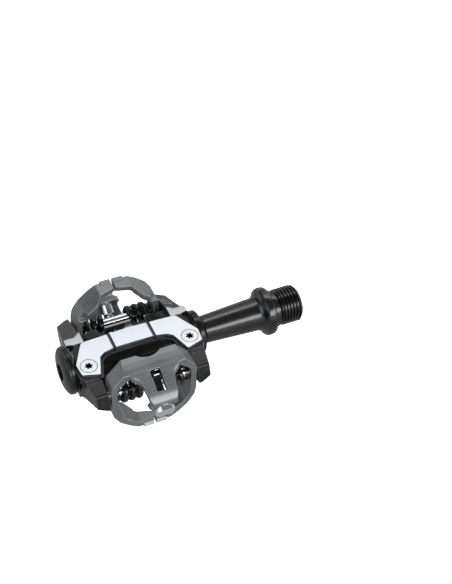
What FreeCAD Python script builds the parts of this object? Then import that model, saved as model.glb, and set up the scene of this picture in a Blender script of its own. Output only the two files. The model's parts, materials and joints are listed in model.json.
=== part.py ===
import FreeCAD, Part
import math
import os
from FreeCAD import Placement, Rotation, Vector

# Double-sided clipless bicycle pedal, left-hand side of the bicycle. Millimetres.
#
# Everything is drawn about the middle of the pedal body: X runs along the spindle towards the
# crank, Y from the rear jaw (-) to the front jaw (+) of the upper side, Z up. The export moves
# the model so that its origin is the centre of the spindle's crank seat. The body, plates, jaws
# and springs repeat by half a turn about X, and each of those is a mirror image of itself in X.

# ---- driving dimensions --------------------------------------------------------------------
SEAT_X = 55.5             # pedal centre to the crank seat on the flange
RUN = 0.03                # radial running clearance of a journal
THREAD_R = 7.144          # 9/16 inch major diameter, halved
THREAD_PITCH = 1.27       # 20 threads per inch, left-handed on a left pedal
THREAD_X = (58.2, 67.2)   # threaded stretch
SHANK_R = 7.16            # plain shank between the seat and the thread
SHANK_END = 57.3
FLANGE_R = 9.35
SHAFT_R = (5.3, 6.4)      # exposed shaft, at the seal and at the flange
SHAFT_X = (28.8, 49.0)
SEAL_R = 5.0              # spindle under the lip seal
BUSH_R = 4.0              # inboard journal
NECK_R = 3.3              # waist between the bearings
AXLE_R = 2.5              # bore of the ball bearings
BEARING_R = 5.0
BEARING_W = 4.0
BEARING_X = (-20.5, -15.0)  # outboard faces of the two ball bearings
BALL_R = 0.794
BALL_PITCH_R = 3.75
BALLS = 9
BUSH_X = (13.0, 21.0)
NUT_AF = 8.0

HUB_R = 6.3
END_R = 9.2               # outboard end of the hub
PLATE_Z = 7.5             # height of a contact plate's face
PLATE_T = 1.3
SCREW_XY = (19.7, -7.1)   # contact plate screws of the upper side
SCREW_HEAD_R = 3.0
SCREW_R = 2.0
ARM_X = (17.1, 24.0)      # inner and outer face of the arms

PIN_YZ = (-18.2, 1.9)     # rear jaw pin
PIN_R = 1.9
WASHER_R = 3.1            # washers between the springs and the jaw's walls
WASHER_X = (12.9, 13.9)
JAW_X = 16.5              # half width of a jaw
JAW_WALL = 2.3
LIP_Y = -14.7             # edge of the rear lip
TOOTH_Y = -12.7           # furthest reach of the front claw's teeth
FACE_Y = -21.5            # front of the jaw's ring, at its top
FACE_LEAN = 0.024          # the ring leans outwards as it goes down
TAB_SLOPE = math.radians(28.0)
TAB_T = 2.0
SCREW_SEAT = (-30.1, 1.77)  # centre of the tension screw's seat, in Y and Z
TENSION_R = 2.0
TENSION_TIP_R = 1.3
TENSION_HEAD = (3.85, 2.9)  # radius and height of the domed head
COLLAR = (3.1, 0.9)       # radius and height of the collar under the head
NUT_Q = (10.8, 12.9)       # the tension nut's place along the screw, from the seat

WIRE_R = 1.1              # spring wire
COIL_R = 3.2
COIL_X = 5.3              # first turn, from the middle
COIL_TURNS = 2.25
END_RISE = 3.7            # how far the outer end stands up before it turns in under the nut
COIL_PITCH = 2.76

AXIS_X = Vector(1, 0, 0)
AXIS_Y = Vector(0, 1, 0)
AXIS_Z = Vector(0, 0, 1)
ORIGIN = Vector(0, 0, 0)


# ---- helpers -------------------------------------------------------------------------------
def rounded_wire(corners, place):
    """Closed outline from (a, b) or (a, b, radius) corners; place maps (a, b) to a point."""
    count = len(corners)
    stretches = []
    for i in range(count):
        a, b = corners[i][:2]
        radius = corners[i][2] if len(corners[i]) > 2 else 0.0
        here = Vector(a, b, 0)
        if not radius:
            stretches.append((here, None, here))
            continue
        before = Vector(*corners[i - 1][:2], 0) - here
        after = Vector(*corners[(i + 1) % count][:2], 0) - here
        before.normalize()
        after.normalize()
        half = before.getAngle(after) / 2.0
        reach = radius / math.tan(half)
        inward = before + after
        inward.normalize()
        middle = here + inward * (radius / math.sin(half) - radius)
        stretches.append((here + before * reach, middle, here + after * reach))
    edges = []
    for i in range(count):
        start, middle, end = stretches[i]
        if middle is not None:
            arc = Part.Arc(place(start.x, start.y), place(middle.x, middle.y), place(end.x, end.y))
            edges.append(arc.toShape())
        onward = stretches[(i + 1) % count][0]
        if (onward - end).Length > 1e-6:
            edges.append(Part.makeLine(place(end.x, end.y), place(onward.x, onward.y)))
    return Part.Wire(edges)


def prism_x(corners, x0, x1):
    """Y-Z outline pushed along X."""
    wire = rounded_wire(corners, lambda y, z: Vector(x0, y, z))
    return Part.Face(wire).extrude(AXIS_X * (x1 - x0))


def prism_y(corners, y0, y1):
    """X-Z outline pushed along Y."""
    wire = rounded_wire(corners, lambda x, z: Vector(x, y0, z))
    return Part.Face(wire).extrude(AXIS_Y * (y1 - y0))


def prism_z(corners, z0, z1):
    """X-Y outline pushed along Z."""
    wire = rounded_wire(corners, lambda x, y: Vector(x, y, z0))
    return Part.Face(wire).extrude(AXIS_Z * (z1 - z0))


def mirrored(corners):
    """Complete a right-hand half outline, listed from its bottom to its top, with its mirror."""
    left = [(-corner[0],) + tuple(corner[1:]) for corner in reversed(corners) if corner[0] > 1e-9]
    return list(corners) + left


def turned(points):
    """Solid of revolution about X from (x, radius) points with straight stretches."""
    outline = [Vector(x, 0, r) for x, r in points]
    outline = [Vector(points[0][0], 0, 0)] + outline + [Vector(points[-1][0], 0, 0)]
    wire = Part.makePolygon(outline + [outline[0]])
    return Part.Face(wire).revolve(ORIGIN, AXIS_X, 360)


def cylinder_x(radius, x0, x1, y=0.0, z=0.0):
    return Part.makeCylinder(radius, x1 - x0, Vector(x0, y, z), AXIS_X)


def ring_x(outer, inner, x0, x1):
    return cylinder_x(outer, x0, x1).cut(cylinder_x(inner, x0 - 1, x1 + 1))


def hexagon_x(across_flats, x0, x1):
    corner = across_flats / math.sqrt(3.0)
    points = []
    for i in range(7):
        angle = math.radians(60 * i)
        points.append(Vector(x0, corner * math.cos(angle), corner * math.sin(angle)))
    return Part.Face(Part.makePolygon(points)).extrude(AXIS_X * (x1 - x0))


def flipped(shape):
    """Half a turn about the spindle: lower side from upper side, front end from rear end."""
    copy = shape.copy()
    copy.rotate(ORIGIN, AXIS_X, 180)
    return copy


def other_side(shape):
    return shape.mirror(ORIGIN, AXIS_X)


def both_sides(shape):
    return shape.fuse(other_side(shape))


def one_solid(shape):
    """Merge split faces and return the single solid inside."""
    clean = shape.removeSplitter()
    assert len(clean.Solids) == 1, "expected one solid, got %d" % len(clean.Solids)
    return clean.Solids[0]


def export(name, *solids):
    placed = []
    for solid in solids:
        copy = solid.copy()
        copy.translate(Vector(-SEAT_X, 0, 0))
        placed.append(copy)
    shape = placed[0] if len(placed) == 1 else Part.makeCompound(placed)
    assert shape.isValid(), name
    shape.exportStep("parts/%s.step" % name)
    print("%-28s %2d solids %9.1f mm3" % (name, len(placed), sum(s.Volume for s in placed)))


# ---- spindle -------------------------------------------------------------------------------
def make_thread():
    """Threaded stretch: a blank with a left-handed 60 degree groove, blunted at both ends."""
    start, end = THREAD_X
    depth = 0.6134 * THREAD_PITCH
    root_half = THREAD_PITCH / 12.0
    root_r, top_r = THREAD_R - depth, THREAD_R + 0.12
    top_half = root_half + (top_r - root_r) * math.tan(math.radians(30))
    profile = Part.makePolygon([Vector(root_r, 0, -root_half), Vector(root_r, 0, root_half),
                                Vector(top_r, 0, top_half), Vector(top_r, 0, -top_half),
                                Vector(root_r, 0, -root_half)])
    helix = Part.makeHelix(THREAD_PITCH, end - start + 2.0, root_r)
    groove = Part.Wire(helix).makePipeShell([profile], True, True)
    groove.Placement = Placement(Vector(start - 0.8, 0, 0), Rotation(AXIS_Z, AXIS_X))
    blank = cylinder_x(THREAD_R, start - 0.1, end).cut(groove.mirror(ORIGIN, AXIS_Y))
    blunt = turned([(start - 1, 6.0), (start - 0.2, 6.35), (start - 0.1, 6.35), (start + 0.65, 7.2),
                    (end - 1.3, 7.2), (end, 5.85)])
    return blank.common(blunt)


def make_spindle():
    core = turned([
        (-24.8, AXLE_R - 0.4), (-24.4, AXLE_R), (-11.0, AXLE_R), (-11.0, NECK_R), (10.0, NECK_R + 0.3),
        (12.4, BUSH_R), (21.6, BUSH_R), (22.6, SEAL_R), (27.6, SEAL_R),
        (28.0, SHAFT_R[0]), (SHAFT_X[0], SHAFT_R[0]), (SHAFT_X[1], SHAFT_R[1]),
        (50.0, 6.65), (50.8, 7.25), (51.4, 8.1), (51.9, 8.85), (52.5, 9.25), (53.1, FLANGE_R),
        (54.1, FLANGE_R), (54.8, 9.2), (55.3, 8.9), (SEAT_X, 8.65),
        (SEAT_X, SHANK_R), (SHANK_END, SHANK_R), (SHANK_END + 0.2, 6.3), (THREAD_X[0] - 0.05, 6.3)])
    spindle = core.fuse(make_thread())
    spindle = spindle.cut(hexagon_x(NUT_AF, THREAD_X[1] - 8.0, THREAD_X[1] + 1))
    assert spindle.Volume > core.Volume + 500, "the thread is missing"
    return one_solid(spindle)


# ---- bearings, seal and end cap ------------------------------------------------------------
def make_bearing(x0):
    """Ball bearing 5 x 10 x 4: outer race, inner race, cage and the list of balls."""
    middle = x0 + BEARING_W / 2.0
    raceway = Part.makeTorus(BALL_PITCH_R, BALL_R + 0.05, Vector(middle, 0, 0), AXIS_X)
    outer = ring_x(BEARING_R, 4.2, x0, x0 + BEARING_W).cut(raceway)
    inner = ring_x(3.3, AXLE_R, x0, x0 + BEARING_W).cut(raceway)
    cage = ring_x(4.13, 3.37, middle - 1.2, middle + 0.6)
    balls = []
    for i in range(BALLS):
        angle = 2 * math.pi * (i + 0.25) / BALLS
        outwards = Vector(0, math.cos(angle), math.sin(angle))
        centre = Vector(middle, 0, 0) + outwards * BALL_PITCH_R
        balls.append(Part.makeSphere(BALL_R, centre))
        cage = cage.cut(Part.makeCylinder(BALL_R + 0.05, 2.0, centre - outwards, outwards))
    return outer, inner, cage, balls


def make_spindle_seal():
    """Lip seal that fills the inboard counterbore and wipes the spindle."""
    lip = turned([(23.1, 7.0), (25.6, 7.0), (25.6, 6.3), (26.2, 5.7)])
    return one_solid(lip.cut(cylinder_x(SEAL_R + RUN, 20, 30)))


def make_seal_retainer():
    ring = turned([(25.6, 7.0), (26.7, 7.0), (27.2, 6.5)])
    return one_solid(ring.cut(cylinder_x(6.3, 24, 26.4)).cut(cylinder_x(5.55, 26, 30)))


def make_end_cap():
    cap = turned([
        (-28.3, 4.2), (-28.2, 5.6), (-27.8, 7.2), (-27.2, 8.4), (-26.7, 9.0), (-26.3, 9.05),
        (-26.3, 6.15), (-25.8, 6.15), (-25.8, 5.2), (-24.7, 5.2), (-24.7, 6.15), (-24.1, 6.15)])
    recess = cylinder_x(3.3, -29, -26.9)
    inside = cylinder_x(5.0, -25.4, -24.0)
    return one_solid(cap.cut(recess).cut(inside).cut(hexagon_x(5.0, -27.2, -26.0)))


# ---- pedal body ----------------------------------------------------------------------------
def side_outline():
    """Y-Z outline of the body beside the jaws, rear arm to front arm along the top and back."""
    upper = [(-23.7, -0.9, 0.8), (-20.1, 4.8, 0.5), (-13.7, 5.9, 0.3), (-13.2, 5.2), (-12.7, 6.2),
             (4.4, 6.2), (5.0, 6.85), (10.2, 6.85), (11.3, 6.0, 0.5)]
    lower = [(-corner[0], -corner[1]) + tuple(corner[2:]) for corner in upper]
    return upper + lower


def plate_outline(grow):
    """X-Y outline of the upper contact plate, grown outwards by the given margin."""
    g = grow
    half = [(0.0, -2.1 - g), (8.0, -2.15 - g, 6.0), (12.2 - g, -3.0 - g, 2.0),
            (14.4 - g, -4.6 - g, 1.2), (17.0 - g, -12.3 - g, 0.4 + g), (23.3 + g, -10.4 - g, 0.8 + g),
            (23.8 + g, -5.2, 0.8 + g), (18.6 + 0.6 * g, 4.3 + g, 1.8 + g), (0.0, 5.2 + g)]
    return mirrored(half)


def make_side():
    """The right-hand side block with its two arms."""
    block = prism_x(side_outline(), ARM_X[0], ARM_X[1])
    plan = [(ARM_X[0], -23.9), (21.9, -22.0), (22.3, -18.5), (23.2, -12.0), (24.0, -9.0),
            (24.0, 9.0), (23.2, 12.0), (22.3, 18.5), (21.9, 22.0), (ARM_X[0], 23.9)]
    block = block.common(prism_z(plan, -10, 10))
    # the long slope of an arm falls outwards as well as to its tip
    slope = Part.makeBox(40, 60, 10, Vector(-20, -30, 0))
    slope.Placement = Placement(Vector(17.8, 11.4, 6.05), Rotation(AXIS_Z, Vector(0.314, 0.396, 0.863))).multiply(
        slope.Placement)
    slope = slope.common(Part.makeBox(20, 30, 20, Vector(10, 8.5, -6)))
    block = block.cut(slope).cut(flipped(slope))
    # waist beside the hub, in front of and behind the plate screws
    pocket = prism_z([(24.2, 1.5), (20.6, 4.9, 0.8), (24.2, 5.6)], 2.0, 8.0)
    block = block.cut(pocket).cut(flipped(pocket))
    return block


def make_hub():
    """Tube round the spindle with its flared ends, kept below the contact plates."""
    hub = turned([(-24.0, 7.6), (-20.0, HUB_R), (20.0, HUB_R), (24.0, 7.6)])
    slab = Part.makeBox(60, 40, 2 * (PLATE_Z - PLATE_T), Vector(-30, -20, -(PLATE_Z - PLATE_T)))
    hub = hub.common(slab)
    outboard = turned([(-26.3, END_R - 0.3), (-26.0, END_R), (-25.0, END_R), (-24.0, 8.3), (-23.0, 7.3)])
    inboard = turned([(23.0, 7.3), (24.0, 8.3), (26.2, 8.3), (26.5, 8.0)])
    return hub.fuse([outboard, inboard])


def make_body():
    body = make_hub().fuse(both_sides(make_side()))
    pad_z = PLATE_Z - PLATE_T
    pad = prism_z(plate_outline(0.9), 3.4, pad_z)
    # the rib that takes the inner legs of the springs, with a second thin one above it
    rib = prism_x([(-8.6, -0.2), (-8.6, 1.0, 0.4), (-5.0, 3.2), (-5.0, -0.2)], -ARM_X[0], ARM_X[0])
    fin = prism_x([(-5.4, 3.6, 0.2), (-5.9, 4.3, 0.2), (-3.0, 6.0), (-3.0, 3.6)], -ARM_X[0], ARM_X[0])
    # gussets beside the arms, over the inner legs of the front jaw's springs
    gusset = prism_x([(3.0, 3.4), (3.0, 5.6), (6.5, 5.6, 0.5), (12.2, 3.6, 0.4), (12.2, 2.8)], 9.8, ARM_X[0])
    gusset = gusset.common(prism_z([(9.0, 2.0), (17.1, 2.0), (17.1, 11.3), (13.7, 11.3, 0.5), (13.3, 13.0, 0.5),
                                    (9.0, 13.0)], 0, 8))
    for piece in (pad, rib, fin, both_sides(gusset)):
        body = body.fuse([piece, flipped(piece)])
    # the plates lie in shallow seats
    seat = prism_z(plate_outline(0.1), pad_z, 9)
    body = body.cut(seat).cut(flipped(seat))
    # spindle bore: cap, ball bearings, waist, bush and seal
    for radius, x0, x1 in ((6.2, -27, -24.0), (BEARING_R, -24.5, -11.0), (4.35, -11.5, 13.5),
                           (BEARING_R, BUSH_X[0], 21.6), (5.3, 21.0, 23.5), (7.0, 23.1, 28)):
        body = body.cut(cylinder_x(radius, x0, x1))
    # jaw pins: through the inboard arm from a counterbore, blind in the outboard arm
    y, z = PIN_YZ
    hole = cylinder_x(PIN_R, -21.0, 22.0, y, z).fuse(cylinder_x(2.7, 21.2, 26, y, z))
    body = body.cut(hole).cut(flipped(hole))
    # blind tapped holes of the plate screws
    for side in (-1, 1):
        tapped = Part.makeCylinder(SCREW_R, 10, Vector(side * SCREW_XY[0], SCREW_XY[1], -1.2), AXIS_Z)
        body = body.cut(tapped).cut(flipped(tapped))
    return one_solid(body)


# ---- contact plates ------------------------------------------------------------------------
def screw_head(x, y, clearance):
    """Countersunk head, pointing up, flush with the plate's face."""
    top = PLATE_Z + clearance
    outer = SCREW_HEAD_R + clearance
    cone = Part.makeCone(SCREW_R + clearance, outer, 0.9, Vector(x, y, PLATE_Z - 1.15), AXIS_Z)
    rim = Part.makeCylinder(outer, top - (PLATE_Z - 0.25), Vector(x, y, PLATE_Z - 0.25), AXIS_Z)
    return cone.fuse(rim)


def make_contact_plate():
    """Upper plate: a bar over the spindle with a leg to each screw and two cross grooves."""
    plate = prism_z(plate_outline(0.0), PLATE_Z - PLATE_T, PLATE_Z)
    groove = prism_y([(7.1, PLATE_Z + 0.1), (7.55, PLATE_Z - 0.5), (8.05, PLATE_Z - 0.5),
                      (8.5, PLATE_Z + 0.1)], -6, 8)
    plate = plate.cut(both_sides(groove))
    for side in (-1, 1):
        x, y = side * SCREW_XY[0], SCREW_XY[1]
        plate = plate.cut(screw_head(x, y, 0.25))
        plate = plate.cut(Part.makeCylinder(SCREW_R + 0.2, 6, Vector(x, y, 3), AXIS_Z))
    return one_solid(plate)


def make_plate_screw(side):
    x, y = side * SCREW_XY[0], SCREW_XY[1]
    screw = screw_head(x, y, 0.0).fuse(
        Part.makeCylinder(SCREW_R, PLATE_Z - 0.4, Vector(x, y, -0.6), AXIS_Z))
    for i in range(3):
        slot = Part.makeBox(2.9, 0.75, 2.0, Vector(-1.45, -0.375, 0))
        slot.rotate(ORIGIN, AXIS_Z, 60 * i)
        slot.translate(Vector(x, y, PLATE_Z - 1.4))
        screw = screw.cut(slot)
    return one_solid(screw.cut(Part.makeCylinder(1.0, 2.0, Vector(x, y, PLATE_Z - 1.4), AXIS_Z)))


# ---- jaws ----------------------------------------------------------------------------------
def along_screw(q, p=0.0):
    """Y and Z of a point q inwards from the screw seat and p above the screw's axis."""
    y = SCREW_SEAT[0] + q * math.cos(TAB_SLOPE) - p * math.sin(TAB_SLOPE)
    z = SCREW_SEAT[1] + q * math.sin(TAB_SLOPE) + p * math.cos(TAB_SLOPE)
    return y, z


SCREW_AXIS = Vector(0, math.cos(TAB_SLOPE), math.sin(TAB_SLOPE))


def cylinder_screw(radius, q0, q1):
    y, z = along_screw(q0)
    return Part.makeCylinder(radius, q1 - q0, Vector(0, y, z), SCREW_AXIS)


def ring_outline(inset):
    """X-Z outline of the jaw's ring, moved inwards by the given amount."""
    i = inset
    half = [(6.3 - 0.4 * i, -16.3 + i, 1.0), (9.2 - 0.6 * i, -14.5 + 0.9 * i, 2.0),
            (13.4 - 0.8 * i, -11.0 + 0.7 * i, 3.0), (15.8 - i, -7.2 + 0.4 * i, 2.0),
            (JAW_X - i, -3.4, 2.0), (JAW_X - i, 6.6 - 0.2 * i, 2.0), (15.9 - i, 8.6 - 0.4 * i, 1.0),
            (10.5 - 0.5 * i, 13.3 - i, 1.2)]
    return mirrored(half)


def make_ring():
    """Closed ring of the jaw with its rear lip above and its front claw below."""
    outline = [(x, z + 1.6 if z > 12 else z) + tuple(rest) for x, z, *rest in ring_outline(0.0)]
    ring = prism_y(outline, -24.0, TOOTH_Y).cut(prism_y(ring_outline(JAW_WALL), -26, -10))
    # the top rises from the ring's face to the lip
    crown = prism_x([(-26, 11.1), (FACE_Y, 13.2), (-19.4, 13.95), (-17.2, 14.5), (LIP_Y, 14.9), (-10, 15.8),
                     (-10, 20), (-26, 20)], -20, 20)
    # the ring's face leans outwards towards the claw
    top_z, low_z = 16.0, -18.0
    face = prism_x([(FACE_Y - FACE_LEAN * (13.3 - top_z), top_z), (FACE_Y - FACE_LEAN * (13.3 - low_z), low_z),
                    (-30, low_z), (-30, top_z)], -20, 20)
    ring = ring.cut(crown).cut(face)
    # scallop in the middle of the lip
    scallop = Part.makeCylinder(7.0, 12, Vector(0, LIP_Y + 5.2, 8), AXIS_Z)
    # opening of the front claw: shallow in the middle, with a tooth and a notch to each side
    mouth = mirrored([(0.0, -18.4), (1.2, -17.8), (4.6, -16.9), (6.2, -16.2), (6.4, -15.3), (8.0, -13.6),
                      (9.2, TOOTH_Y), (12.4, TOOTH_Y), (13.2, -15.4), (18.0, -15.4), (18.0, -10.0),
                      (0.0, -10.0)])
    claw = prism_z(mouth, -20, -7.6)
    upper = prism_x([(LIP_Y, 20), (LIP_Y, -6.5), (TOOTH_Y, -9.0), (-10, -9.0), (-10, 20)], -20, 20)
    ring = ring.cut([scallop, claw, upper])
    # machined pads at the foot of the ring, parted by the groove along the claw's middle
    ring = ring.fuse(Part.makeBox(9.0, 2.2, 2.3, Vector(-4.5, -22.8, -16.6)))
    groove = Part.makeBox(0.7, 8.0, 3.0, Vector(-0.35, -24.0, -18.0))
    return ring.cut([groove, Part.makeBox(0.7, 2.8, 5.0, Vector(-0.35, -24.0, -18.0))])


def tab_profile():
    """Y-Z outline of the tab that slopes out of the ring and turns down to the screw seat."""
    bend = [along_screw(3.2, 6.24) + (6.0,), along_screw(0.7, 5.55) + (2.2,), along_screw(-0.35, 4.5) + (0.5,)]
    seat_top = along_screw(0.0, 4.0)
    seat_low = along_screw(0.0, -3.3)
    inner_low = along_screw(2.2, -3.3)
    inner_bend = along_screw(2.2, 6.24 - TAB_T)
    root_out = along_screw(13.0, 6.24)
    root_in = along_screw(14.4, 6.24 - TAB_T)
    return [root_out] + bend + [seat_top, seat_low, inner_low, inner_bend + (0.8,), root_in]


def make_tab():
    tab = prism_x(tab_profile(), -10, 10)
    # plan: wide at the ring, drawn in to the screw by round shoulders
    plan = mirrored([(3.2, -34.0, 1.0), (5.3, -31.0, 1.0), (5.6, -29.0, 4.0), (6.3, -24.6, 3.5),
                     (9.4, -22.4, 1.6), (9.6, -19.0)])
    tab = tab.common(prism_z(plan, -6, 18))
    # the tab's foot is round
    foot = mirrored([(0.0, -2.6), (2.6, -1.6, 2.2), (5.8, 3.0, 2.4), (10.0, 9.0), (10.0, 18.0), (0.0, 18.0)])
    tab = tab.common(prism_y(foot, -40, -10))
    return tab.cut(cylinder_screw(TENSION_R + 0.1, -1.0, 4.0))


def make_jaw():
    jaw = make_ring().fuse(make_tab())
    # window over the tension nut
    y, z = along_screw(4.5, 2.0)
    window = Part.makeBox(3.6, 8.2, 6.0, Vector(-1.8, 0, 0))
    window.rotate(ORIGIN, AXIS_X, math.degrees(TAB_SLOPE))
    window.translate(Vector(0, y, z))
    y, z = PIN_YZ
    return one_solid(jaw.cut(window).cut(cylinder_x(PIN_R + 0.05, -20, 20, y, z)))


def make_spring_washers():
    """Washers that part the springs from the jaw's walls."""
    y, z = PIN_YZ
    washer = ring_x(WASHER_R, PIN_R, WASHER_X[0], WASHER_X[1])
    washer.translate(Vector(0, y, z))
    return washer, other_side(washer)


def make_jaw_pin():
    y, z = PIN_YZ
    pin = cylinder_x(PIN_R, -21.0, 22.4, y, z)
    socket = hexagon_x(2.0, 20.6, 24)
    socket.translate(Vector(0, y, z))
    return one_solid(pin.cut(socket))


def make_tension_screw():
    radius, height = TENSION_HEAD
    dome = Part.makeSphere(radius + 1.3)
    dome = dome.common(Part.makeCylinder(radius, 8, Vector(0, 0, radius + 1.3 - height), AXIS_Z))
    dome.translate(Vector(0, 0, height - radius - 1.3))
    socket = hexagon_x(3.0, 0, 3)
    socket.rotate(ORIGIN, AXIS_Y, -90)
    socket.translate(Vector(0, 0, height - 1.7))
    head = dome.cut(socket)
    y, z = along_screw(-COLLAR[1])
    head.Placement = Placement(Vector(0, y, z), Rotation(AXIS_Z, SCREW_AXIS * -1))
    y, z = along_screw(6.4)
    taper = Part.makeCone(TENSION_R, TENSION_TIP_R, 0.7, Vector(0, y, z), SCREW_AXIS)
    return one_solid(head.fuse([cylinder_screw(COLLAR[0], -COLLAR[1], 0.0), taper,
                                cylinder_screw(TENSION_R, -0.1, 6.4),
                                cylinder_screw(TENSION_TIP_R, 6.4, 15.2)]))


def block_screw(half_x, q0, q1, p0, p1):
    """Block square to the tension screw."""
    corners = [along_screw(q0, p0), along_screw(q1, p0), along_screw(q1, p1), along_screw(q0, p1)]
    return prism_x(corners, -half_x, half_x)


def make_tension_nut():
    """Nut on the tension screw: it bears on the springs' ends, and its apron and post show in the window."""
    q0, q1 = NUT_Q
    nut = block_screw(4.0, q0, q1, -1.6, 2.0)
    nut = nut.fuse([block_screw(1.5, q0, q0 + 0.8, 1.2, 3.4), block_screw(1.6, 4.9, q0 + 0.6, 2.4, 3.4),
                    block_screw(1.5, q0 - 0.7, q0 + 0.4, 3.0, 5.0)])
    return one_solid(nut.cut(cylinder_screw(TENSION_TIP_R + 0.05, q0 - 1, q1 + 1)))


# ---- springs -------------------------------------------------------------------------------
def make_spring():
    """Right-hand spring of the rear jaw: end on the nut, coils round the pin, leg on the body."""
    y, z = PIN_YZ
    rise = COIL_TURNS * COIL_PITCH
    helix = Part.makeHelix(COIL_PITCH, rise, COIL_R)
    slope = math.atan2(COIL_PITCH, 2 * math.pi * COIL_R)
    section = Part.Wire(Part.makeCircle(WIRE_R, Vector(COIL_R, 0, 0), Vector(0, math.cos(slope), math.sin(slope))))
    coil = Part.Wire(helix).makePipeShell([section], True, True)
    coil.rotate(ORIGIN, AXIS_Z, 180)
    # local X, Y, Z of the helix become Y, Z, X of the pedal
    turn = Rotation(AXIS_Y, AXIS_Z, AXIS_X, "XYZ")
    coil.Placement = Placement(Vector(COIL_X, y, z), turn).multiply(coil.Placement)
    first = Vector(COIL_X, y - COIL_R, z)
    bend = first + AXIS_Z * END_RISE
    last = Vector(COIL_X + rise, y, z - COIL_R)
    legs = [Part.makeCylinder(WIRE_R, END_RISE, first, AXIS_Z),
            Part.makeCylinder(WIRE_R, COIL_X - 3.1, bend, AXIS_X * -1),
            Part.makeCylinder(WIRE_R, 11.0, last, AXIS_Y)]
    knees = [Part.makeSphere(WIRE_R + 0.01, point) for point in (first, bend, last)]
    return one_solid(coil.fuse(legs + knees))


# ---- build ---------------------------------------------------------------------------------
os.makedirs("parts", exist_ok=True)

export("spindle", make_spindle())
export("pedal_body", make_body())

for place, x0 in zip(("outboard", "middle"), BEARING_X):
    outer, inner, cage, balls = make_bearing(x0)
    export(place + "_bearing_outer_race", outer)
    export(place + "_bearing_inner_race", inner)
    export(place + "_bearing_cage", cage)
    export(place + "_bearing_balls", *balls)
export("bearing_spacer", ring_x(NECK_R, AXLE_R, BEARING_X[0] + BEARING_W, BEARING_X[1]))
export("lock_washer", ring_x(3.7, AXLE_R, BEARING_X[0] - 0.7, BEARING_X[0]))
lock_nut = hexagon_x(NUT_AF, BEARING_X[0] - 3.7, BEARING_X[0] - 0.7)
export("spindle_lock_nut", lock_nut.cut(cylinder_x(AXLE_R, -30, 0)))
export("inboard_bush", ring_x(BEARING_R, BUSH_R + RUN, BUSH_X[0], BUSH_X[1]))
export("spindle_seal", make_spindle_seal())
export("seal_retainer", make_seal_retainer())
export("end_cap", make_end_cap())
export("end_cap_o_ring", Part.makeTorus(5.7, 0.5, Vector(-25.25, 0, 0), AXIS_X))

plate = make_contact_plate()
plate_screws = [make_plate_screw(-1), make_plate_screw(1)]
export("top_contact_plate", plate)
export("bottom_contact_plate", flipped(plate))
export("top_plate_screws", *plate_screws)
export("bottom_plate_screws", *[flipped(screw) for screw in plate_screws])

spring = make_spring()
for end, turn in (("rear", lambda shape: shape), ("front", flipped)):
    export(end + "_jaw", turn(make_jaw()))
    export(end + "_jaw_pin", turn(make_jaw_pin()))
    export(end + "_spring_washers", *[turn(washer) for washer in make_spring_washers()])
    export(end + "_tension_screw", turn(make_tension_screw()))
    export(end + "_tension_nut", turn(make_tension_nut()))
    export(end + "_inboard_spring", turn(spring))
    export(end + "_outboard_spring", turn(other_side(spring)))
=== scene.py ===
"""Clipless pedal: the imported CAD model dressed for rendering. Metres, in the row's frame."""

import json
import math

import bmesh
import bpy
from mathutils import Matrix, Vector


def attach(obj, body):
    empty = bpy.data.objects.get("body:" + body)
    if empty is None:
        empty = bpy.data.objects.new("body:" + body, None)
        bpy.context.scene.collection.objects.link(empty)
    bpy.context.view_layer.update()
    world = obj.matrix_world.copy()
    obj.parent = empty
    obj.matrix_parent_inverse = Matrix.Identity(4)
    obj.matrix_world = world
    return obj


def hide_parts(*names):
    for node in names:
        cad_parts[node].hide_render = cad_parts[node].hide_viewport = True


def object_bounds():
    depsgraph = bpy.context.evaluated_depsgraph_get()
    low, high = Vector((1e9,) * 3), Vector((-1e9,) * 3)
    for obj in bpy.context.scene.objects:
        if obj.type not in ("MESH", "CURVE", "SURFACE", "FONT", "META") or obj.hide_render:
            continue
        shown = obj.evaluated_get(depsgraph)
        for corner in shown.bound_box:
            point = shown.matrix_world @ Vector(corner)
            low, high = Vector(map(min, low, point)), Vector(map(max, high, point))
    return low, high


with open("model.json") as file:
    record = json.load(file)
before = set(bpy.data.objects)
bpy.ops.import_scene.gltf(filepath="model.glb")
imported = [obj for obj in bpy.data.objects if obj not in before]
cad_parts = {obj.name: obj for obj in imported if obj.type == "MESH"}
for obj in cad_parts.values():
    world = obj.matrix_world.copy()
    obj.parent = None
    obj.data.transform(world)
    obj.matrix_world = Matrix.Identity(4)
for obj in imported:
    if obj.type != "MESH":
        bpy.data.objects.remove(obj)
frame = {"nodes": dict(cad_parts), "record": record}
cad_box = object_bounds()
nodes = frame["nodes"]
bodies = frame["record"]["behaviour"]["bodies"]
node_body = {name: body for body, names in bodies.items() for name in names}
node_slot = {part["node"]: part["material_slot"] for part in frame["record"]["subparts"]}

MM = 0.001
# the middle of the pedal body lies this far from the crank seat, which is the frame's origin
BODY_X = -55.5 * MM
MIDDLE = Vector((BODY_X, 0, 0))

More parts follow.
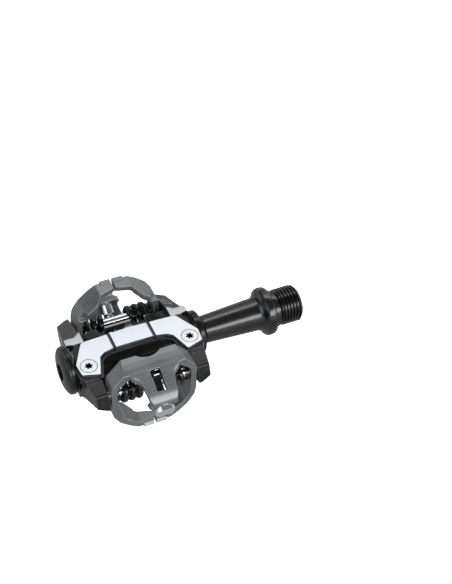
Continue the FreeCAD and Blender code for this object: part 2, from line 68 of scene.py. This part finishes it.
# ---- sizes in millimetres, from the middle of the pedal body --------------------------------
PLATE_Z = 7.5              # height of a contact plate's face
GROOVE_X = 7.8             # cross grooves of the contact plates, where shade is painted
GROOVE_HALF = 0.62         # half of a groove's width, and of its painted shade
SCREW_XY = (19.7, 7.1)     # contact plate screws
WELL_SHADE_R = 3.24              # the hole round a plate screw's head, painted with shade
RECESS_SHADE_DEPTH = 0.3         # below this depth a plate screw's recess gets painted shade
PLATE_SCREW_REACH = 9.9    # the plate screws lie nearer to the spindle than this
TAB_SLOPE = math.radians(28.0)
SCREW_SEAT = (-30.1, 1.77)  # centre of the tension screw's seat, in Y and Z
PIN = Vector((0, -18.2, 1.9))  # rear jaw pin
WIRE_R = 1.1               # spring wire
COIL_R = 3.2
COIL_X = 5.3               # first turn, from the middle
COIL_TURNS = 2.25
COIL_PITCH = 2.76
COIL_STEPS = 28            # points to the turn
END_RISE = 3.7             # how far the outer end stands up before it turns in
END_X = 3.1                # where the outer end stops, from the middle
END_BEND = 1.3             # radius of its bend
LEG_LENGTH = 11.0          # straight inner leg
LEG_STEPS = 6
PAD_LOW = 14.2             # the machined pads lie lower than this on the ring
PAD_X = (0.4, 4.6)
FACET_X = 17.2             # the bare flats lie further out than this
FACET_Y = (4.6, 10.2)
FACET_Z = (6.6, 7.1)
ROOT_X = 9.5               # the patch round the tab's root, to be blended
ROOT_Y = (-24.5, -19.6)
ROOT_Z = (11.2, 14.6)
JAW_VOXEL, JAW_PASSES, ROOT_PASSES = 0.17, 6, 60
BODY_VOXEL, BODY_PASSES = 0.2, 4
FLOOR_DROP = 1.2           # the floor's depth, as a multiple of the jaws' reach from the spindle
EDGE_WEAR_AND_HIGHLIGHT = (0.52, 0.575)  # pointiness where the paler edges, part wear and part painted highlight, begin and where they are full


# ---- shader helpers ------------------------------------------------------------------------
class Nodes:
    """A material's node tree, with short calls for the few nodes that it needs."""

    def __init__(self, name):
        self.material = bpy.data.materials.new(name)
        self.material.use_nodes = True
        self.tree = self.material.node_tree
        self.shader = self.tree.nodes["Principled BSDF"]
        self.coordinates = self.tree.nodes.new("ShaderNodeTexCoord").outputs["Object"]

    @classmethod
    def of(cls, material):
        """The same short calls for a material that has been made already."""
        made = cls.__new__(cls)
        made.material = material
        made.tree = material.node_tree
        made.shader = made.tree.nodes["Principled BSDF"]
        texture = next(node for node in made.tree.nodes if node.type == "TEX_COORD")
        made.coordinates = texture.outputs["Object"]
        return made

    def source(self, name):
        """What is linked to one of the shader's inputs at present."""
        return self.shader.inputs[name].links[0].from_socket

    def link(self, value, socket):
        if isinstance(value, bpy.types.NodeSocket):
            self.tree.links.new(value, socket)
        else:
            socket.default_value = value

    def noise(self, scale, detail=3.0, roughness=0.55, stretch=(1, 1, 1)):
        """Noise with about that many blobs to the metre, stretched along each axis."""
        mapping = self.tree.nodes.new("ShaderNodeMapping")
        mapping.inputs["Scale"].default_value = stretch
        self.link(self.coordinates, mapping.inputs["Vector"])
        node = self.tree.nodes.new("ShaderNodeTexNoise")
        self.link(mapping.outputs["Vector"], node.inputs["Vector"])
        node.inputs["Scale"].default_value = scale
        node.inputs["Detail"].default_value = detail
        node.inputs["Roughness"].default_value = roughness
        return node.outputs["Fac"]

    def ramp(self, value, low, high, start=0.0, end=1.0):
        """Map the stretch from low to high onto the stretch from start to end, clamped."""
        node = self.tree.nodes.new("ShaderNodeMapRange")
        self.link(value, node.inputs["Value"])
        limits = {"From Min": low, "From Max": high, "To Min": start, "To Max": end}
        for socket, number in limits.items():
            node.inputs[socket].default_value = number
        return node.outputs["Result"]

    def math(self, operation, a, b=0.0):
        node = self.tree.nodes.new("ShaderNodeMath")
        node.operation = operation
        self.link(a, node.inputs[0])
        self.link(b, node.inputs[1])
        return node.outputs[0]

    def mix(self, factor, a, b):
        node = self.tree.nodes.new("ShaderNodeMix")
        node.data_type = "RGBA"
        self.link(factor, node.inputs[0])
        self.link(a, node.inputs[6])
        self.link(b, node.inputs[7])
        return node.outputs[2]

    def away(self, axis, middle=0.0):
        """Distance from a middle plane along one axis, in millimetres."""
        split = self.tree.nodes.new("ShaderNodeSeparateXYZ")
        self.link(self.coordinates, split.inputs[0])
        offset = self.math("SUBTRACT", split.outputs[axis], middle)
        return self.math("MULTIPLY", self.math("ABSOLUTE", offset), 1.0 / MM)

    def edges(self):
        """1 on sharp outer edges of a finely meshed piece, from the surface's pointiness; the paler
        colour put there is part wear, part painted highlight.
        """
        geometry = self.tree.nodes.new("ShaderNodeNewGeometry")
        return self.ramp(geometry.outputs["Pointiness"], *EDGE_WEAR_AND_HIGHLIGHT)

    def bump(self, height, distance, strength):
        node = self.tree.nodes.new("ShaderNodeBump")
        node.inputs["Strength"].default_value = strength
        node.inputs["Distance"].default_value = distance
        self.link(height, node.inputs["Height"])
        self.link(node.outputs["Normal"], self.shader.inputs["Normal"])

    def set(self, **values):
        names = {"color": "Base Color", "metallic": "Metallic", "roughness": "Roughness",
                 "specular": "Specular IOR Level"}
        for key, value in values.items():
            self.link(value, self.shader.inputs[names[key]])
        return self.material


def rgb(red, green=None, blue=None):
    """A colour, or a grey when only one number is given."""
    green = red if green is None else green
    blue = red if blue is None else blue
    return (red, green, blue, 1.0)


def cast_coating(name, dark, light, edge_wear_and_highlight, roughness):
    """Satin coating over a casting: fine orange peel, faint clouding and lighter edges, part wear and
    part painted highlight.
    """
    n = Nodes(name)
    cloud = n.noise(160.0, 4.0)
    grain = n.noise(5200.0, 2.0)
    base = n.mix(n.ramp(cloud, 0.3, 0.7), dark, light)
    base = n.mix(n.ramp(grain, 0.35, 0.7, 0.0, 0.35), base, dark)
    # lighter edges: part wear, part painted highlight
    base = n.mix(n.edges(), base, edge_wear_and_highlight)
    rough = n.math("ADD", n.ramp(cloud, 0.3, 0.7, roughness - 0.04, roughness + 0.06),
                   n.ramp(grain, 0.3, 0.7, -0.03, 0.03))
    n.bump(n.math("ADD", n.math("MULTIPLY", grain, 0.35), n.noise(1500.0, 2.0)), 0.00002, 0.35)
    return n.set(color=base, roughness=rough, metallic=0.75, specular=0.5)


def gloss_black(name, roughness, edge=None, peel=0.3, specular=0.6):
    """Gloss black coating: deep black with soft orange peel, faint clouds and, if given, paler edges that
    are part wear and part painted highlight.
    """
    n = Nodes(name)
    base = n.mix(n.ramp(n.noise(220.0, 4.0), 0.35, 0.75), rgb(0.0025), rgb(0.006, 0.006, 0.007))
    # paler edges: part wear, part painted highlight
    if edge:
        base = n.mix(n.edges(), base, edge)
    rough = n.ramp(n.noise(420.0, 5.0), 0.3, 0.75, roughness - 0.03, roughness + 0.06)
    n.bump(n.noise(900.0, 1.0), 0.00003, peel)
    return n.set(color=base, roughness=rough, specular=specular)


def bright_steel(name, color, roughness, stretch=(1, 1, 1), scratch=0.25, scale=2600.0, metallic=1.0):
    """Bare metal with fine lines along the way that it was ground or drawn."""
    n = Nodes(name)
    lines = n.noise(scale, 3.0, 0.6, stretch)
    cloud = n.noise(260.0, 4.0)
    darker = rgb(*[c * 0.93 for c in color[:3]])
    base = n.mix(n.ramp(lines, 0.3, 0.7), darker, color)
    base = n.mix(n.ramp(cloud, 0.5, 0.8, 0.0, 0.35), base, darker)
    rough = n.math("ADD", n.ramp(cloud, 0.3, 0.7, roughness - 0.03, roughness + 0.03),
                   n.ramp(lines, 0.3, 0.7, -0.03, 0.03))
    n.bump(lines, 0.00001, scratch)
    return n.set(color=base, roughness=rough, metallic=metallic)


def plate_steel(name):
    """Bright plate steel, with painted shade in the two cross grooves and in the wells round the screws.
    """
    material = bright_steel(name, rgb(0.73, 0.76, 0.80), 0.34, (0.12, 1, 1), 0.05, 5200.0)
    n = Nodes.of(material)
    x, y = n.away("X", BODY_X), n.away("Y")
    # painted shade: the two cross grooves and the wells round the plate screws' heads get a near-black,
    # less metallic colour
    groove = n.math("LESS_THAN", n.math("ABSOLUTE", n.math("SUBTRACT", x, GROOVE_X)), GROOVE_HALF)
    across, along = n.math("SUBTRACT", x, SCREW_XY[0]), n.math("SUBTRACT", y, SCREW_XY[1])
    square = n.math("ADD", n.math("MULTIPLY", across, across), n.math("MULTIPLY", along, along))
    well_shade = n.math("LESS_THAN", square, WELL_SHADE_R ** 2)
    # dark is the painted-shade mask, and rgb 0.06 is the painted shade
    dark = n.math("MAXIMUM", groove, well_shade)
    n.set(color=n.mix(dark, n.source("Base Color"), rgb(0.06, 0.065, 0.07)),
          metallic=n.math("SUBTRACT", 1.0, n.math("MULTIPLY", dark, 0.7)))
    return material


def screw_zinc(name):
    """Bright screw steel, with painted shade inside the star-shaped recess of a plate screw."""
    material = bright_steel(name, rgb(0.82, 0.83, 0.85), 0.22, (1, 1, 1), 0.03)
    n = Nodes.of(material)
    # painted shade: the faces deep in a plate screw's recess turn near black
    below = n.math("LESS_THAN", n.away("Z"), PLATE_Z - RECESS_SHADE_DEPTH)
    deep = n.math("MULTIPLY", below, n.math("LESS_THAN", n.away("Y"), PLATE_SCREW_REACH))
    n.set(color=n.mix(deep, n.source("Base Color"), rgb(0.03)))
    return material


def plain_moulding(name, color, roughness):
    """Dull plastic, rubber or paint with a fine grain and faint clouds."""
    n = Nodes(name)
    grain = n.noise(3000.0, 3.0)
    lighter = rgb(*[min(1.0, c * 1.6 + 0.004) for c in color[:3]])
    base = n.mix(n.ramp(n.noise(300.0, 4.0), 0.35, 0.75), color, lighter)
    n.bump(grain, 0.00003, 0.3)
    return n.set(color=base, roughness=n.ramp(grain, 0.3, 0.7, roughness - 0.05, roughness + 0.07))


# ---- materials -----------------------------------------------------------------------------
looks = {
    "spindle_black": gloss_black("spindle_black", 0.22, None, 0.08, 0.75),
    # body_black's grey edge colour: part wear, part painted highlight
    "body_black": gloss_black("body_black", 0.2, rgb(0.20, 0.205, 0.21), 0.2, 0.4),
    "plate_steel": plate_steel("plate_steel"),
    "screw_zinc": screw_zinc("screw_zinc"),
    "pin_steel": bright_steel("pin_steel", rgb(0.80, 0.81, 0.83), 0.16, (0.1, 1, 1), 0.1),
    # jaw_steel's pale edge colour: part wear, part painted highlight
    "jaw_steel": cast_coating("jaw_steel", rgb(0.21, 0.213, 0.22), rgb(0.26, 0.264, 0.272), rgb(0.46),
                              0.42),
    "spring_black": gloss_black("spring_black", 0.16, None, 0.1),
    "bearing_steel": bright_steel("bearing_steel", rgb(0.70, 0.71, 0.73), 0.14),
    "cage_polymer": plain_moulding("cage_polymer", rgb(0.50, 0.42, 0.26), 0.5),
    "bush_bronze": bright_steel("bush_bronze", rgb(0.55, 0.38, 0.18), 0.4),
    "seal_rubber": plain_moulding("seal_rubber", rgb(0.012), 0.7),
    "cap_plastic": gloss_black("cap_plastic", 0.3, None, 0.3),
    "nut_steel": gloss_black("nut_steel", 0.28, None, 0.1),
}
bare_metal = bright_steel("bare_metal", rgb(0.50, 0.51, 0.52), 0.36, (1, 1, 1), 0.2)
machined = bright_steel("machined", rgb(0.66, 0.67, 0.68), 0.42, (0.2, 1, 1), 0.2, metallic=0.35)
tick_dark = plain_moulding("tick_dark", rgb(0.05), 0.5)
rib_paint = plain_moulding("rib_paint", rgb(0.22), 0.45)
indicator_white = plain_moulding("indicator_white", rgb(0.75), 0.5)
for name, obj in nodes.items():
    obj.data.materials.clear()
    obj.data.materials.append(looks[node_slot[name]])


# ---- pieces ----------------------------------------------------------------------------------
def to_frame(flip, mirror=False):
    """From pedal millimetres to the frame, for the rear end or, flipped, for the front end."""
    placing = Matrix.Translation(MIDDLE) @ Matrix.Scale(MM, 4)
    if flip:
        placing = placing @ Matrix.Rotation(math.pi, 4, "X")
    if mirror:
        placing = placing @ Matrix.Scale(-1.0, 4, (1, 0, 0))
    return placing


def add_piece(name, mesh, rides):
    piece = bpy.data.objects.new(name, mesh)
    bpy.context.scene.collection.objects.link(piece)
    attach(piece, rides)
    return piece


# ---- rounded copies of the castings ----------------------------------------------------------
def softened(node, voxel, passes, name):
    """Copy of a CAD node with its sharp edges rounded off, in place of that node."""
    mesh = nodes[node].data.copy()
    piece = bpy.data.objects.new(name, mesh)
    bpy.context.scene.collection.objects.link(piece)
    weld = piece.modifiers.new("weld", "WELD")
    weld.merge_threshold = 1e-7
    remesh = piece.modifiers.new("remesh", "REMESH")
    remesh.mode = "VOXEL"
    remesh.voxel_size = voxel * MM
    smooth = piece.modifiers.new("smooth", "SMOOTH")
    smooth.factor = 0.5
    smooth.iterations = passes
    graph = bpy.context.evaluated_depsgraph_get()
    made = bpy.data.meshes.new_from_object(piece.evaluated_get(graph))
    piece.modifiers.clear()
    piece.data = made
    made.name = name
    made.materials.clear()
    made.materials.append(looks[node_slot[node]])
    for face in made.polygons:
        face.use_smooth = True
        face.material_index = 0
    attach(piece, node_body[node])
    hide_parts(node)
    return piece


def regions(piece, material, chosen):
    """Give a second material to the faces that chosen(centre, normal) picks, in pedal millimetres."""
    piece.data.materials.append(material)
    for face in piece.data.polygons:
        centre = (face.center - MIDDLE) / MM
        if chosen(centre, face.normal):
            face.material_index = 1


def on_machined_face(centre, normal):
    """The two pads at the foot of the ring, either side of the claw's groove."""
    outwards = -1.0 if centre.y < 0 else 1.0
    low = centre.z * outwards
    return normal.y * outwards > 0.8 and low > PAD_LOW and PAD_X[0] < abs(centre.x) < PAD_X[1]


def on_bare_facet(centre, normal):
    """The small uncoated flats beside the far end of each contact plate."""
    side = 1.0 if centre.z > 0 else -1.0
    y, z = centre.y * side, centre.z * side
    inside = FACET_Y[0] < y < FACET_Y[1] and FACET_Z[0] < z < FACET_Z[1] and abs(centre.x) > FACET_X
    return inside and normal.z * side > 0.8


def blend(piece, chosen, passes):
    """Smooth the part of a piece that chosen(point) picks, so that two faces run into one another."""
    bm = bmesh.new()
    bm.from_mesh(piece.data)
    verts = [vert for vert in bm.verts if chosen((vert.co - MIDDLE) / MM)]
    for _ in range(passes):
        bmesh.ops.smooth_vert(bm, verts=verts, factor=0.5,
                              use_axis_x=True, use_axis_y=True, use_axis_z=True)
    bm.to_mesh(piece.data)
    bm.free()


def at_tab_root(centre):
    """The crease where the ring's crown meets the tab."""
    side = 1.0 if centre.y < 0 else -1.0
    y, z = centre.y * side, centre.z * side
    return ROOT_Y[0] < y < ROOT_Y[1] and ROOT_Z[0] < z < ROOT_Z[1] and abs(centre.x) < ROOT_X


for end in ("rear", "front"):
    jaw = softened(end + "_jaw", JAW_VOXEL, JAW_PASSES, end + "_jaw_casting")
    blend(jaw, at_tab_root, ROOT_PASSES)
    regions(jaw, machined, on_machined_face)
body = softened("pedal_body", BODY_VOXEL, BODY_PASSES, "body_casting")
regions(body, bare_metal, on_bare_facet)


# ---- springs ---------------------------------------------------------------------------------
def swept(name, points, radius, sides=18):
    """Round wire along a list of points, with rounded ends."""
    bm = bmesh.new()
    rings = []
    # any direction that no part of the wire runs along
    side = Vector((0.37, 0.61, 0.70))
    count = len(points)
    for i, point in enumerate(points):
        ahead = (points[min(i + 1, count - 1)] - points[max(i - 1, 0)]).normalized()
        side = (side - ahead * side.dot(ahead)).normalized()
        third = ahead.cross(side)
        rings.append([bm.verts.new(point + radius * (math.cos(a) * side + math.sin(a) * third))
                      for a in (2 * math.pi * k / sides for k in range(sides))])
    for low, high in zip(rings, rings[1:]):
        for k in range(sides):
            bm.faces.new((low[k], low[(k + 1) % sides], high[(k + 1) % sides], high[k]))
    caps = [bm.faces.new(list(reversed(rings[0]))), bm.faces.new(rings[-1])]
    rims = [edge for cap in caps for edge in cap.edges]
    bmesh.ops.bevel(bm, geom=rims, offset=radius * 0.3, segments=3, affect="EDGES")
    bmesh.ops.recalc_face_normals(bm, faces=bm.faces)
    for face in bm.faces:
        face.smooth = True
    mesh = bpy.data.meshes.new(name)
    bm.to_mesh(mesh)
    bm.free()
    return mesh


def rounded_path(corners, radius, steps=8):
    """Straight runs joined by round bends, as points."""
    points = [corners[0]]
    for before, here, after in zip(corners, corners[1:], corners[2:]):
        start = here + (before - here).normalized() * radius
        end = here + (after - here).normalized() * radius
        for k in range(steps + 1):
            t = k / steps
            points.append((1 - t) ** 2 * start + 2 * t * (1 - t) * here + t * t * end)
    points.append(corners[-1])
    return points


def coil_point(turns):
    """Point on the coil of the rear inboard spring, so many turns from its first one."""
    angle = math.pi + 2 * math.pi * turns
    return PIN + Vector((COIL_X + COIL_PITCH * turns, COIL_R * math.cos(angle), COIL_R * math.sin(angle)))


def place_wire(name, mesh, flip, mirror, rides):
    """Bring a wire of the rear inboard spring to its place in the frame."""
    mesh.transform(to_frame(flip, mirror))
    if mirror:
        mesh.flip_normals()
    mesh.materials.append(looks["spring_black"])
    return add_piece(name, mesh, rides)


def make_springs():
    """Each spring in two pieces: the coil with its inner leg stays with the body, and the outer
    end turns with the jaw, round the same pin."""
    coil = [coil_point(k / COIL_STEPS) for k in range(int(COIL_TURNS * COIL_STEPS) + 1)]
    last = coil[-1]
    inner = coil + [last + Vector((0, LEG_LENGTH * k / LEG_STEPS, 0)) for k in range(1, LEG_STEPS + 1)]
    first = coil_point(0.0)
    bend = first + Vector((0, 0, END_RISE))
    # the outer end starts inside the coil's first turn, so that no gap opens when the jaw turns
    outer = [coil_point(k / COIL_STEPS) for k in (2, 1)]
    outer += rounded_path([first, bend, bend - Vector((COIL_X - END_X, 0, 0))], END_BEND)
    for end in ("rear", "front"):
        for place in ("inboard", "outboard"):
            node = "%s_%s_spring" % (end, place)
            where = (end == "front", place == "outboard")
            piece = place_wire(node + "_coil", swept(node + "_coil", inner, WIRE_R), *where, "pedal")
            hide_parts(node)
            place_wire(node + "_end", swept(node + "_end", outer, WIRE_R), *where, end + "_jaw")


make_springs()


# ---- small marks -----------------------------------------------------------------------------
def along_screw(q, p):
    """Y and Z, in pedal millimetres, of a point q inwards from the screw's seat and p above its axis."""
    y = SCREW_SEAT[0] + q * math.cos(TAB_SLOPE) - p * math.sin(TAB_SLOPE)
    z = SCREW_SEAT[1] + q * math.sin(TAB_SLOPE) + p * math.cos(TAB_SLOPE)
    return y, z


def bars(name, boxes, turn, flip, material, rides):
    """Small bars with softened edges, as one piece: (centre, size) pairs in pedal millimetres."""
    bm = bmesh.new()
    for centre, size in boxes:
        made = bmesh.ops.create_cube(bm, size=1.0)["verts"]
        placing = Matrix.Translation(centre) @ turn @ Matrix.Diagonal((*size, 1.0))
        bmesh.ops.transform(bm, matrix=placing, verts=made)
    bmesh.ops.bevel(bm, geom=list(bm.edges), offset=0.04, segments=2, affect="EDGES")
    mesh = bpy.data.meshes.new(name)
    bm.to_mesh(mesh)
    bm.free()
    mesh.transform(to_frame(flip))
    mesh.materials.append(material)
    add_piece(name, mesh, rides)


def make_arm_ribs():
    """Four rows of two short raised ribs on the long slope of the inboard arm, above and below."""
    # the slope's normal and the corner where it starts
    normal = Vector((0.314, 0.396, 0.863)).normalized()
    corner = Vector((17.8, 11.4, 6.05))
    sunk = 0.02
    rib_size = (1.4, 0.7, 0.2)
    along = (Vector((0, 1, 0)) - normal * normal.y).normalized()
    across = along.cross(normal)
    turned = Matrix((across, along, normal)).transposed().to_4x4()
    start = corner - normal * sunk
    ribs = []
    for row in range(4):
        for column in range(2):
            centre = start + along * (2.0 + 1.7 * row) + across * (0.9 + 1.9 * column)
            ribs.append((centre, rib_size))
    for end, flip in (("upper", False), ("lower", True)):
        bars(end + "_arm_ribs", ribs, turned, flip, rib_paint, "pedal")


def make_marks():
    """Four ticks to each side of a tab's window, and the pale line on the nut inside it."""
    tab_turn = Matrix.Rotation(TAB_SLOPE, 4, "X")
    ticks = []
    for k in range(4):
        y, z = along_screw(5.4 + 1.6 * k, 6.2)
        # the first and the last tick are longer
        length = 0.8 if k % 3 else 1.1
        for side in (-1, 1):
            ticks.append((Vector((side * 3.0, y, z)), (length, 0.22, 0.16)))
    y, z = along_screw(10.65, 5.62)
    indicator = [(Vector((0, y, z)), (2.0, 0.45, 0.12))]
    for end in ("rear", "front"):
        flip = end == "front"
        bars(end + "_tension_ticks", ticks, tab_turn, flip, tick_dark, end + "_jaw")
        bars(end + "_tension_indicator", indicator, tab_turn, flip, indicator_white, end + "_nut")


make_marks()
make_arm_ribs()


# ---- camera, floor and light ---------------------------------------------------------------
VIEW_AZIMUTH = math.radians(-26.07)
VIEW_ELEVATION = math.radians(46.36)
VIEW_ROLL = math.radians(3.11)
VIEW_DISTANCE = 0.5705        # metres
VIEW_LENS = 95.09             # millimetres, on a 36 mm sensor
VIEW_AIM = (0.0345, 0.0217)   # picture centre from the pedal's middle, right and up
back = Vector((math.sin(VIEW_AZIMUTH) * math.cos(VIEW_ELEVATION),
               -math.cos(VIEW_AZIMUTH) * math.cos(VIEW_ELEVATION), math.sin(VIEW_ELEVATION)))
level = Vector((math.cos(VIEW_AZIMUTH), math.sin(VIEW_AZIMUTH), 0.0))
right = math.cos(VIEW_ROLL) * level + math.sin(VIEW_ROLL) * back.cross(level)
up = back.cross(right)
camera_data = bpy.data.cameras.new("camera")
camera_data.lens = VIEW_LENS
camera_data.sensor_width = 36.0
camera_data.clip_start = 0.01
camera_data.clip_end = 20.0
camera = bpy.data.objects.new("camera", camera_data)
turn = Matrix((right, up, back)).transposed().to_4x4()
place = MIDDLE + back * VIEW_DISTANCE + right * VIEW_AIM[0] + up * VIEW_AIM[1]
camera.matrix_world = Matrix.Translation(place) @ turn
bpy.context.scene.collection.objects.link(camera)
bpy.context.scene.camera = camera


def make_floor():
    """Pale floor that reads as plain white, low enough for the pedal to turn over above it."""
    n = Nodes("floor_white")
    n.set(color=n.mix(n.noise(3.0), rgb(0.93), rgb(0.95)), roughness=0.8)
    n.shader.inputs["Emission Color"].default_value = rgb(1.0)
    n.shader.inputs["Emission Strength"].default_value = 0.85
    mesh = bpy.data.meshes.new("floor")
    bm = bmesh.new()
    bmesh.ops.create_grid(bm, x_segments=8, y_segments=8, size=3.0)
    bm.to_mesh(mesh)
    bm.free()
    floor = bpy.data.objects.new("floor", mesh)
    floor.location = (BODY_X, 0, -FLOOR_DROP * cad_box[1].y)
    # the gloss black mirrors the dimmer world below instead of the floor
    floor.visible_glossy = False
    floor.visible_diffuse = False
    mesh.materials.append(n.material)
    bpy.context.scene.collection.objects.link(floor)


make_floor()


def soft_box(name, direction, distance, size, radiance, color=(1, 1, 1)):
    """Soft box that faces the pedal, with its long side along the spindle."""
    data = bpy.data.lights.new(name, "AREA")
    data.shape = "RECTANGLE"
    data.size, data.size_y = size
    data.energy = radiance * math.pi * size[0] * size[1]
    data.color = color
    lamp = bpy.data.objects.new(name, data)
    towards = Vector(direction).normalized()
    # a box near the spindle's own line has its long side across it
    long_side = Vector((1, 0, 0)) if abs(towards.x) < 0.8 else Vector((0, 1, 0))
    sideways = (long_side - towards * long_side.dot(towards)).normalized()
    turned = Matrix((sideways, towards.cross(sideways), towards)).transposed().to_4x4()
    lamp.matrix_world = Matrix.Translation(MIDDLE + towards * distance) @ turned
    bpy.context.scene.collection.objects.link(lamp)


soft_box("top", (0.3, 0.66, 0.70), 1.25, (1.5, 0.9), 0.70, (0.95, 0.98, 1.0))
soft_box("upper_strip", (0.3, 0.40, 0.87), 1.0, (1.4, 0.22), 2.8)
soft_box("front_strip", (0.3, -0.83, 0.48), 1.0, (1.4, 0.38), 6.0)
soft_box("left", (-1.0, -0.15, 0.5), 1.1, (0.8, 0.6), 2.0, (0.84, 0.92, 1.0))
soft_box("behind", (0.9, 0.7, 0.2), 1.1, (0.7, 0.4), 0.3)


def make_world():
    """A white band round the horizon, with greyer light below it and above it."""
    world = bpy.data.worlds.new("studio")
    world.use_nodes = True
    tree = world.node_tree
    direction = tree.nodes.new("ShaderNodeTexCoord").outputs["Generated"]
    split = tree.nodes.new("ShaderNodeSeparateXYZ")
    tree.links.new(direction, split.inputs[0])
    # 0 straight down, 1 straight up
    height = tree.nodes.new("ShaderNodeMapRange")
    tree.links.new(split.outputs["Z"], height.inputs["Value"])
    height.inputs["From Min"].default_value = -1.0
    height.inputs["From Max"].default_value = 1.0
    bands = tree.nodes.new("ShaderNodeValToRGB")
    tree.links.new(height.outputs["Result"], bands.inputs["Fac"])
    stops = bands.color_ramp.elements
    stops[0].position, stops[0].color = 0.46, rgb(0.42)
    stops[1].position, stops[1].color = 0.60, rgb(0.17)
    for position in (0.485, 0.54):
        stops.new(position).color = rgb(1.0)
    tree.links.new(bands.outputs["Color"], tree.nodes["Background"].inputs["Color"])
    tree.nodes["Background"].inputs["Strength"].default_value = 1.0
    bpy.context.scene.world = world


make_world()
bpy.context.scene.view_settings.view_transform = "Standard"
